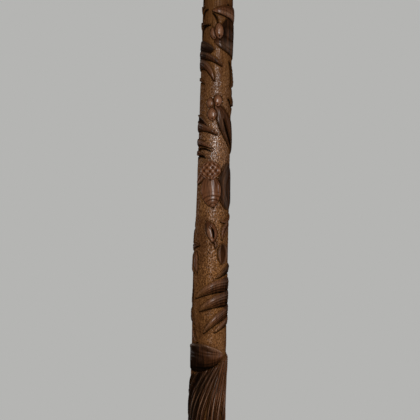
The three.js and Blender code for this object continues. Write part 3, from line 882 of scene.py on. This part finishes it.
def handle_wood():
    """Dark stained hardwood, varnished, with its grain along X."""
    f = Finish("handle_wood")
    bands = f.noise((60, 4.5, 4.5), detail=4, roughness=0.6, distortion=0.8)
    fibres = f.noise((14, 0.5, 0.5), detail=3)
    pores = f.noise((6, 0.45, 0.45), detail=1).between(0.62, 0.72)
    wear = f.noise((22, 18, 18), detail=2).between(0.45, 0.75)
    colour = f.blend(bands.between(0.36, 0.62), tint(38, 20, 12), tint(86, 47, 27))
    colour = f.blend(fibres * 0.45, colour, tint(104, 60, 35))
    colour = f.blend(pores * 0.7, colour, tint(18, 9, 6))
    colour = f.blend(wear * 0.2, colour, tint(120, 76, 48))
    return f.done(
        Base_Color=colour,
        Roughness=(0.4 + fibres * 0.14 - wear * 0.06).clamped(),
        Specular_IOR_Level=0.0,
        Coat_Weight=(0.5 - pores * 0.3).clamped(),
        Coat_Roughness=0.2,
        Coat_IOR=1.45,
        Normal=f.bump(fibres * 0.6 - pores * 0.8, 0.06),
    )


def turned_brass(name, bright, dull, roughness, turning, wear):
    """Brass with fine turning marks round Z, a thin tarnish and small scuffs."""
    f = Finish(name)
    marks = f.noise((60, 60, turning), detail=3)
    tarnish = f.noise((7, 7, 7), detail=4, roughness=0.65)
    scuffs = f.noise((2.4, 2.4, 0.9), detail=3).between(0.58, 0.7)
    colour = f.blend(tarnish.between(0.42, 0.72), tint(*bright), tint(*dull))
    colour = f.blend(scuffs * wear, colour, tint(226, 196, 132))
    return f.done(
        Base_Color=colour,
        Metallic=1.0,
        Roughness=(marks * 0.16 + tarnish * 0.16 + scuffs * wear * 0.3 + roughness).clamped(),
        Normal=f.bump(marks + scuffs * -0.5, 0.02),
    )


def drawn_steel(name, marks_along):
    """Plain steel with drawing marks, and a little rust."""
    f = Finish(name)
    marks = f.noise((0.5, 0.5, marks_along), detail=3)
    rust = f.noise((3, 3, 3), detail=4).between(0.58, 0.72)
    colour = f.blend(marks, tint(128, 130, 133), tint(176, 178, 180))
    return f.done(
        Base_Color=f.blend(rust * 0.6, colour, tint(110, 74, 50)),
        Metallic=(1 - rust * 0.7).clamped(),
        Roughness=(marks * 0.2 + rust * 0.3 + 0.28).clamped(),
        Normal=f.bump(marks, 0.02),
    )


def tip_rubber():
    """Matt moulded rubber, greyer where it has scuffed the ground."""
    f = Finish("tip_rubber")
    specks = f.noise((0.6, 0.6, 0.6), detail=3)
    dust = f.noise((5, 5, 5), detail=4, roughness=0.65).between(0.42, 0.75)
    height = f.node("ShaderNodeSeparateXYZ", values={0: f.place(1, 1, 1)}, output="Z")
    scuff_height = 12
    low = 1 - height.between(0, scuff_height)
    colour = f.blend(specks, tint(28, 27, 26), tint(46, 45, 44))
    colour = f.blend((dust * 0.35 + low * dust * 0.4).clamped(), colour, tint(96, 92, 86))
    return f.done(
        Base_Color=colour,
        Roughness=(specks * 0.12 + dust * 0.14 + 0.58).clamped(),
        Normal=f.bump(specks, 0.06),
    )


# Pieces
def levels(low, high, row):
    """Heights from low to high, about one row apart."""
    return np.linspace(low, high, round((high - low) / row) + 1).tolist()


def make_shaft(wood):
    """The shaft in three lengths that meet face to face."""
    joint = ROD_BOX[0][2] - SEAT_GAP
    shaft_foot, shaft_top = SHAFT_BOX[0][2], SHAFT_BOX[1][2]
    foot_spigot = FERRULE_BORE - SEAT_GAP
    foot = [(foot_spigot, SHAFT_FOOT), (foot_spigot, shaft_foot)]
    head = [(SPIGOT_RADIUS, SHAFT_SHOULDER), (SPIGOT_RADIUS, shaft_top)]
    rod_hole = [(ROD_BORE, shaft_top), (ROD_BORE, joint)]
    lower = levels(SHAFT_FOOT, LOWER_SPLIT, LOWER_ROW)
    middle = levels(LOWER_SPLIT, UPPER_SPLIT, FINE_ROW)
    upper = levels(UPPER_SPLIT, SHAFT_SHOULDER, FINE_ROW)
    carved_piece("shaft_lower", LOWER_COLUMNS, lower, foot, [], wood)
    carved_piece("shaft_middle", FINE_COLUMNS, middle, [], [], wood)
    carved_piece("shaft_upper", FINE_COLUMNS, upper, [], head + rod_hole, wood)


# Each row holds a ring's place along the handle, as a share of its length, the ring's lift and half depth,
# as shares of its depth, and the ring's half thickness, as a share of its greatest one
BAR_SHARES = [
    (-0.37, -0.2, 0.2, 0.34),
    (-0.34, -0.12, 0.36, 0.6),
    (-0.27, -0.03, 0.46, 0.78),
    (-0.14, 0.01, 0.49, 0.92),
    (0.02, 0, 0.48, 1),
    (0.18, -0.03, 0.45, 0.99),
    (0.34, -0.1, 0.42, 0.95),
    (0.48, -0.2, 0.39, 0.86),
    (0.56, -0.28, 0.33, 0.72),
    (0.6, -0.34, 0.2, 0.44),
]
NOSE_SHARE = -0.385
TAIL_SHARE = 0.615
NECK_SHARES = [(1, 0), (0.93, 0.3), (0.92, 0.55), (1, 1)]
HANDLE_DEPTH = 31
BAR_STEPS = 8
NECK_STEPS = 6
BAR_SIDES = 64
HANDLE_VOXEL = 0.9
HANDLE_SMOOTHING = 14
HANDLE_SMOOTHING_SHARE = 0.5


def spline(rows, steps):
    """Rows of numbers along a smooth curve through the given rows."""
    rows = [np.array(row, float) for row in rows]
    padded = [2 * rows[0] - rows[1], *rows, 2 * rows[-1] - rows[-2]]
    curve = []
    for a, b, c, d in zip(padded, padded[1:], padded[2:], padded[3:]):
        for s in np.arange(steps) / steps:
            rise = (c - a) * s + (2 * a - 5 * b + 4 * c - d) * s**2 + (3 * (b - c) + d - a) * s**3
            curve.append(b + rise / 2)
    return curve + [rows[-1]]


def make_handle(wood):
    """The handle's bar and neck, joined by remeshing so that they flow into each other."""
    length = HANDLE_BOX[1][0] - HANDLE_BOX[0][0]
    half_thickness = HANDLE_BOX[1][1]
    middle = HANDLE_BOX[1][2] - HANDLE_DEPTH / 2
    bm = bmesh.new()
    upright = Matrix.Rotation(math.pi / 2, 4, "Y")
    rings = []
    for along, lift, deep, thick in spline(BAR_SHARES, BAR_STEPS):
        centre = Matrix.Translation((length * along, 0, middle + HANDLE_DEPTH * lift))
        oval = Matrix.Diagonal((1, half_thickness * thick, HANDLE_DEPTH * deep, 1))
        place = centre @ oval @ upright
        ring = bmesh.ops.create_circle(bm, segments=BAR_SIDES, radius=1, matrix=place)["verts"]
        rings.append(list(dict.fromkeys(edge for vert in ring for edge in vert.link_edges)))
    for ring, following in zip(rings, rings[1:]):
        bmesh.ops.bridge_loops(bm, edges=ring + following)
    for rim, nose in ((rings[0], NOSE_SHARE), (rings[-1], TAIL_SHARE)):
        face = bmesh.ops.contextual_create(bm, geom=rim)["faces"]
        centre = bmesh.ops.poke(bm, faces=face)["verts"][0]
        centre.co.x = length * nose
    neck_foot = COLLAR_BOX[1][2] + SEAT_GAP
    side = spline(NECK_SHARES, NECK_STEPS)
    side = [(SHAFT_HEAD_RADIUS * wide, mix(neck_foot, middle, up)) for wide, up in side]
    neck = spun([(0, neck_foot), *side, (0, middle)], BAR_SIDES)
    bm.from_mesh(mesh_from("neck", neck))
    piece = piece_from("wooden_handle", bm, wood, "cane", "handle")
    remesh = piece.modifiers.new("join", "REMESH")
    remesh.mode = "VOXEL"
    remesh.voxel_size = HANDLE_VOXEL / MM_PER_METRE
    remesh.use_smooth_shade = True
    smooth = piece.modifiers.new("soften", "SMOOTH")
    smooth.iterations = HANDLE_SMOOTHING
    smooth.factor = HANDLE_SMOOTHING_SHARE


def make_collar(brass):
    """A brass sleeve with two turned grooves and rolled rims."""
    low, high = COLLAR_BOX[0][2], COLLAR_BOX[1][2]
    radius = COLLAR_BOX[1][0]
    groove_width, groove_depth = 1.6, 0.6
    outside = []
    for share in (1 / 4, 3 / 4):
        middle = mix(low, high, share)
        outside.append((radius, middle - groove_width / 2))
        outside.append((radius - groove_depth, middle))
        outside.append((radius, middle + groove_width / 2))
    profile = [
        (COLLAR_BORE, low),
        (radius, low),
        *outside,
        (radius, high),
        (COLLAR_BORE, high),
    ]
    sleeve = spun(softened(profile) + [Vector(profile[0])], COLLAR_SIDES)
    piece_from("brass_collar", sleeve, brass, "cane", "handle_collar")


def make_ferrule(brass):
    """A drawn brass cup with a rolled bead at its mouth."""
    low, high = FERRULE_BOX[0][2], FERRULE_BOX[1][2]
    radius, floor = FERRULE_BOX[1][0], 1
    bead_height, groove_width, groove_depth = 2, 1.2, 0.25
    bead_foot = high - bead_height
    profile = [
        (0, low),
        (radius, low),
        (radius, bead_foot - groove_width),
        (radius - groove_depth, bead_foot - groove_width / 2),
        (radius, bead_foot),
        (radius, high),
        (FERRULE_BORE, high),
        (FERRULE_BORE, low + floor),
        (0, low + floor),
    ]
    cup = spun(softened(profile), FINE_SIDES)
    piece_from("brass_ferrule", cup, brass, "cane", "tip_ferrule")


def make_pins(brass):
    """Two round-headed pins through the ferrule."""
    inner_end, outer_end = PIN_BOX[0][0], PIN_BOX[1][0]
    head_radius, head_rise, shank_radius, dome_steps = 1.7, 0.6, 0.9, 7
    head_foot = outer_end - head_rise
    pin_height = (PIN_BOX[0][2] + PIN_BOX[1][2]) / 2
    dome = []
    for angle in np.linspace(0, math.pi / 2, dome_steps + 1)[:-1]:
        dome.append((head_radius * math.cos(angle), head_foot + head_rise * math.sin(angle)))
    profile = [
        (0, inner_end),
        (shank_radius, inner_end),
        (shank_radius, head_foot),
        *dome,
        (0, outer_end),
    ]
    for side, name in ((1, "right"), (-1, "left")):
        bm = spun(profile, PIN_SIDES, axis="X")
        bmesh.ops.scale(bm, verts=bm.verts, vec=(side, 1, 1))
        bmesh.ops.translate(bm, verts=bm.verts, vec=(0, 0, pin_height))
        piece_from(f"pin_{name}", bm, brass, "cane", f"ferrule_pin_{name}")


def make_tip(rubber):
    """A moulded rubber cup with fine ribs, a flared foot and a ringed tread."""
    top_height = TIP_BOX[1][2]
    foot_radius = TIP_BOX[1][0]
    socket = SHAFT_FOOT_RADIUS + SEAT_GAP
    floor = WASHER_BOX[0][2] - SEAT_GAP
    top_wall, rim_height, rim_depth, draft = 2.9, 1, 0.8, 1
    top_radius = socket + top_wall
    body_radius = top_radius + draft
    body_foot, foot_height, foot_rounding, neck_height, neck_depth = 15, 6, 1, 9, 1.2
    tread_rings, tread_width, tread_depth, tread_edge = 2, 1.4, 1.5, 0.2
    rib_count, rib_foot, rib_width, rib_spacing, rib_rise, rib_slope = 3, 22, 2, 4.4, 0.5, 0.6
    tread = []
    for ring in range(1, tread_rings + 1):
        middle = foot_radius * ring / (tread_rings + 1)
        inner, outer = middle - tread_width / 2, middle + tread_width / 2
        tread += [(inner, 0), (inner, tread_depth), (outer, tread_depth), (outer, 0)]
    ribs = []
    for rib in range(rib_count):
        low = rib_foot + rib * rib_spacing
        high = low + rib_width
        wall = mix(body_radius, top_radius, (low - body_foot) / (top_height - body_foot))
        ribs += [(wall, low), (wall + rib_rise, low + rib_slope)]
        ribs += [(wall + rib_rise, high - rib_slope), (wall, high)]
    profile = [
        (0, 0),
        *tread,
        (foot_radius - tread_edge, 0),
        (foot_radius, foot_rounding),
        (foot_radius, foot_height),
        (foot_radius - neck_depth, foot_height + foot_rounding),
        (body_radius - neck_depth, neck_height),
        (body_radius, body_foot),
        *ribs,
        (top_radius, top_height - rim_height),
        (top_radius - rim_depth, top_height),
        (socket, top_height),
        (socket, floor),
        (0, floor),
    ]
    cup = spun(softened(profile), FINE_SIDES)
    piece_from("rubber_foot", cup, rubber, "tip", "rubber_tip")


def refinish(node, material):
    """Gives a CAD node that stays a better material."""
    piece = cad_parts[node]
    piece.data.materials.clear()
    piece.data.materials.append(material)


# Stage. The camera's places are in millimetres, and the floor and the lamps are in metres.
CAMERA_DISTANCE = 896
CAMERA_LENS = 96
CAMERA_SIDE = 2.0
CAMERA_LEAN = -1.54
CAMERA_CLIP = (0.05, 30)
SHEET = tint(181, 181, 179)
FLOOR_RADIUS = 2.2
FLOOR_SIDES = 96
FLOOR_FADE_SHARES = (0.1, 0.38)
WORLD_LIGHT = 0.26

# Each lamp's name, by its side as the camera sees it, its place, what it faces, its width and height, and
# its power
LAMPS = [
    ("key", (-0.12, -1.5, 0.5), (0, 0, 0.56), (0.16, 0.4), 15.5),
    ("right", (-2.0, -0.2, 1.1), (0, 0, 0.5), (1.8, 1.8), 11),
    ("left", (1.8, 1.3, 1.1), (0, 0, 0.5), (1.8, 1.8), 24),
    ("back", (0.2, 1.3, 2.6), (0, 0, 0.5), (1.4, 1.4), 55),
]


def make_camera():
    """Square on to the carved front, with the handle's end downwards as in the photograph."""
    camera = bpy.data.cameras.new("camera")
    camera.lens = CAMERA_LENS
    camera.clip_start, camera.clip_end = CAMERA_CLIP
    holder = put_in_scene("camera", camera)
    centre = (CARVING_MIDDLE + CARVING_HEAD) / 2
    holder.location = Vector((CAMERA_SIDE, -CAMERA_DISTANCE, centre)) / MM_PER_METRE
    holder.rotation_euler = (math.radians(90), math.radians(180 + CAMERA_LEAN), 0)
    bpy.context.scene.camera = holder


def make_lamp(name, place, target, size, power):
    lamp = bpy.data.lights.new(name, "AREA")
    lamp.shape = "RECTANGLE"
    lamp.size, lamp.size_y = size
    lamp.energy = power
    holder = put_in_scene(name, lamp)
    holder.location = place
    facing = Vector(target) - Vector(place)
    holder.rotation_euler = facing.to_track_quat("-Z", "Y").to_euler()


def make_world():
    """Even light on the object, and a plain pale background for the camera, gloss and glass."""
    f = Finish("studio", bpy.data.worlds)
    seen = f.node("ShaderNodeLightPath", output="Is Camera Ray")
    seen += f.node("ShaderNodeLightPath", output="Is Glossy Ray")
    seen += f.node("ShaderNodeLightPath", output="Is Transmission Ray")
    lit = f.node("ShaderNodeBackground", values={"Color": (1, 1, 1, 1), "Strength": WORLD_LIGHT})
    plain = f.node("ShaderNodeBackground", values={"Color": SHEET, "Strength": 1})
    mixed = f.node("ShaderNodeMixShader", values={0: seen.clamped(), 1: lit, 2: plain})
    f.close(mixed, "ShaderNodeOutputWorld")
    bpy.context.scene.world = f.owner


def make_floor():
    """A pale floor that keeps shadows near the cane and melts into the background further out."""
    f = Finish("floor")
    bm = bmesh.new()
    bmesh.ops.create_circle(bm, cap_ends=True, segments=FLOOR_SIDES, radius=FLOOR_RADIUS)
    mesh = mesh_from("floor", bm)
    metres = f.place(MM_PER_METRE, MM_PER_METRE, MM_PER_METRE)
    distance = f.node("ShaderNodeVectorMath", {"operation": "LENGTH"}, {0: metres}, "Value")
    seen = f.node("ShaderNodeLightPath", output="Is Camera Ray")
    near_edge, far_edge = [FLOOR_RADIUS * share for share in FLOOR_FADE_SHARES]
    far = distance.between(near_edge, far_edge) * seen
    lit = f.node("ShaderNodeBsdfDiffuse", values={"Color": SHEET})
    plain = f.node("ShaderNodeEmission", values={"Color": SHEET, "Strength": 1})
    f.close(f.node("ShaderNodeMixShader", values={0: far, 1: lit, 2: plain}))
    mesh.materials.append(f.owner)
    put_in_scene("floor", mesh)


make_camera()
make_world()
make_floor()
for lamp in LAMPS:
    make_lamp(*lamp)

make_shaft(carved_wood())
make_handle(handle_wood())
make_collar(turned_brass("collar_brass", (206, 168, 92), (146, 106, 52), 0.16, turning=0.35, wear=0.3))
make_ferrule(turned_brass("ferrule_brass", (190, 152, 84), (128, 94, 50), 0.24, turning=0.35, wear=0.6))
make_pins(turned_brass("pin_brass", (204, 166, 96), (140, 104, 56), 0.22, turning=0.6, wear=0.4))
make_tip(tip_rubber())
refinish("joint_rod", drawn_steel("rod_steel", marks_along=20))
refinish("tip_washer", drawn_steel("washer_steel", marks_along=0.5))

bpy.context.scene.view_settings.view_transform = "Standard"
